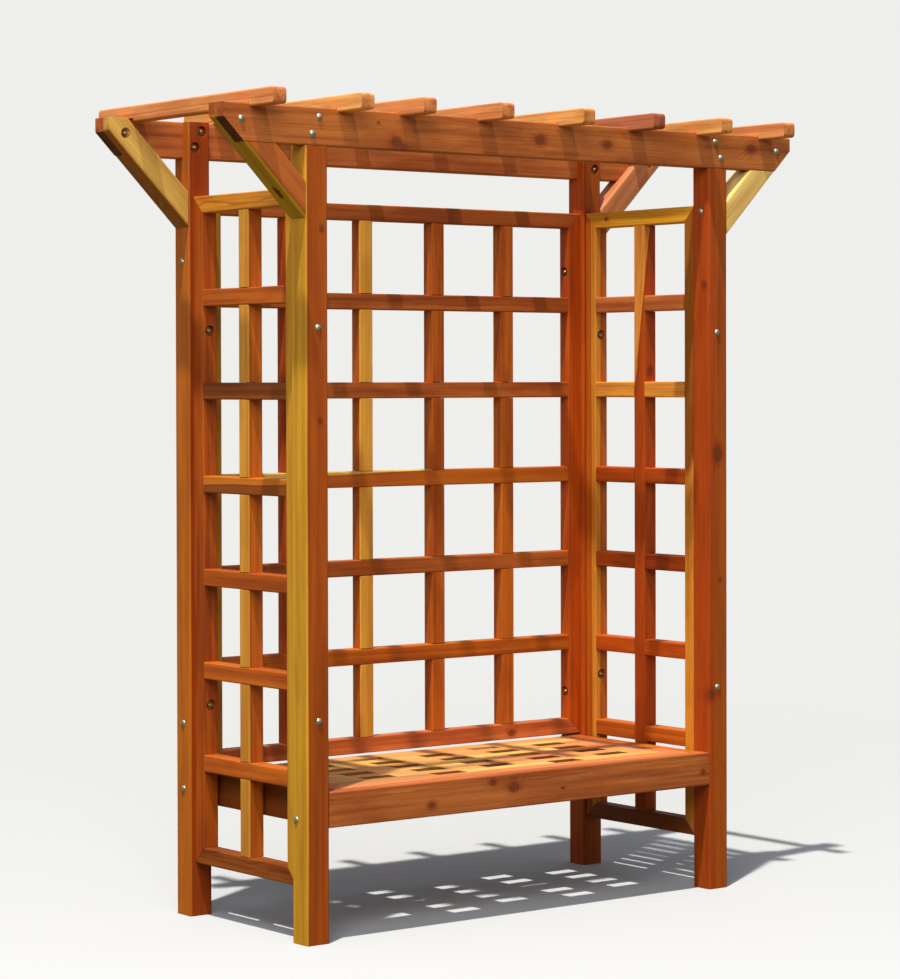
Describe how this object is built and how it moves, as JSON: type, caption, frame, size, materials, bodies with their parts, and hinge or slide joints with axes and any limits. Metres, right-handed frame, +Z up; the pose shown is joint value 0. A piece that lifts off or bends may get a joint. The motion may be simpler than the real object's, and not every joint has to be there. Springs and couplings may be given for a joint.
{
  "type": "arbour seat",
  "caption": "Timber arbour seat: corner posts, lattice sides and back, a slotted bench seat, and long knee-braced beams under open rafters.",
  "frame": {"origin": "on the ground under the middle of the bounding box", "axes": "+Z up, the open front faces -Y, +X to the right of a person who looks at the front"},
  "size_m": [2.144, 0.92, 2.394],
  "materials": {
    "honey_timber": "satin oiled softwood, straight grain with a few knots",
    "straw_timber": "satin oiled softwood, straight grain with a few knots",
    "ochre_timber": "satin oiled softwood, straight grain with a few knots",
    "amber_timber": "satin oiled softwood, straight grain with a few knots",
    "apricot_timber": "satin oiled softwood, straight grain with a few knots",
    "copper_timber": "satin oiled softwood, straight grain with a few knots",
    "russet_timber": "satin oiled softwood, straight grain with a few knots",
    "brick_timber": "satin oiled softwood, straight grain with a few knots",
    "umber_timber": "satin oiled softwood, straight grain with a few knots",
    "bolt_steel": "domed bolt heads, washers and shanks, dull galvanised steel",
    "nut_plating": "yellow-plated hexagon nuts in their counterbores"
  },
  "bodies": {
    "root": {"back_beam": "copper_timber", "back_panel_bottom_rail": "copper_timber", "back_panel_crossbar_1": "copper_timber", "back_panel_crossbar_2": "brick_timber", "back_panel_crossbar_3": "amber_timber", "back_panel_crossbar_4": "russet_timber", "back_panel_crossbar_5": "copper_timber", "back_panel_left_stile": "copper_timber", "back_panel_right_stile": "russet_timber", "back_panel_top_rail": "russet_timber", "back_panel_upright_1": "ochre_timber", "back_panel_upright_2": "copper_timber", "back_panel_upright_3": "russet_timber", "back_panel_upright_4": "copper_timber", "front_beam": "russet_timber", "left_back_brace": "straw_timber", "left_back_post": "copper_timber", "left_front_brace": "russet_timber", "left_front_post": "umber_timber", "left_panel_back_stile": "copper_timber", "left_panel_bottom_rail": "brick_timber", "left_panel_crossbar_1": "copper_timber", "left_panel_crossbar_2": "umber_timber", "left_panel_crossbar_3": "amber_timber", "left_panel_crossbar_4": "russet_timber", "left_panel_crossbar_5": "copper_timber", "left_panel_crossbar_6": "copper_timber", "left_panel_front_stile": "ochre_timber", "left_panel_top_rail": "amber_timber", "left_panel_upright": "ochre_timber", "rafter_1": "amber_timber", "rafter_2": "apricot_timber", "rafter_3": "amber_timber", "rafter_4": "apricot_timber", "rafter_5": "honey_timber", "rafter_6": "russet_timber", "rafter_7": "amber_timber", "rafter_8": "apricot_timber", "right_back_brace": "apricot_timber", "right_back_post": "russet_timber", "right_front_brace": "straw_timber", "right_front_post": "russet_timber", "right_panel_back_stile": "ochre_timber", "right_panel_bottom_rail": "russet_timber", "right_panel_crossbar_1": "copper_timber", "right_panel_crossbar_2": "amber_timber", "right_panel_crossbar_3": "copper_timber", "right_panel_crossbar_4": "brick_timber", "right_panel_crossbar_5": "copper_timber", "right_panel_crossbar_6": "copper_timber", "right_panel_front_stile": "amber_timber", "right_panel_top_rail": "ochre_timber", "right_panel_upright": "brick_timber", "seat_back_apron": "russet_timber", "seat_back_cleat": "copper_timber", "seat_front_apron": "umber_timber", "seat_front_cleat": "copper_timber", "seat_left_apron": "umber_timber", "seat_right_apron": "copper_timber", "seat_slat_panel": "honey_timber"}
  },
  "joints": []
}
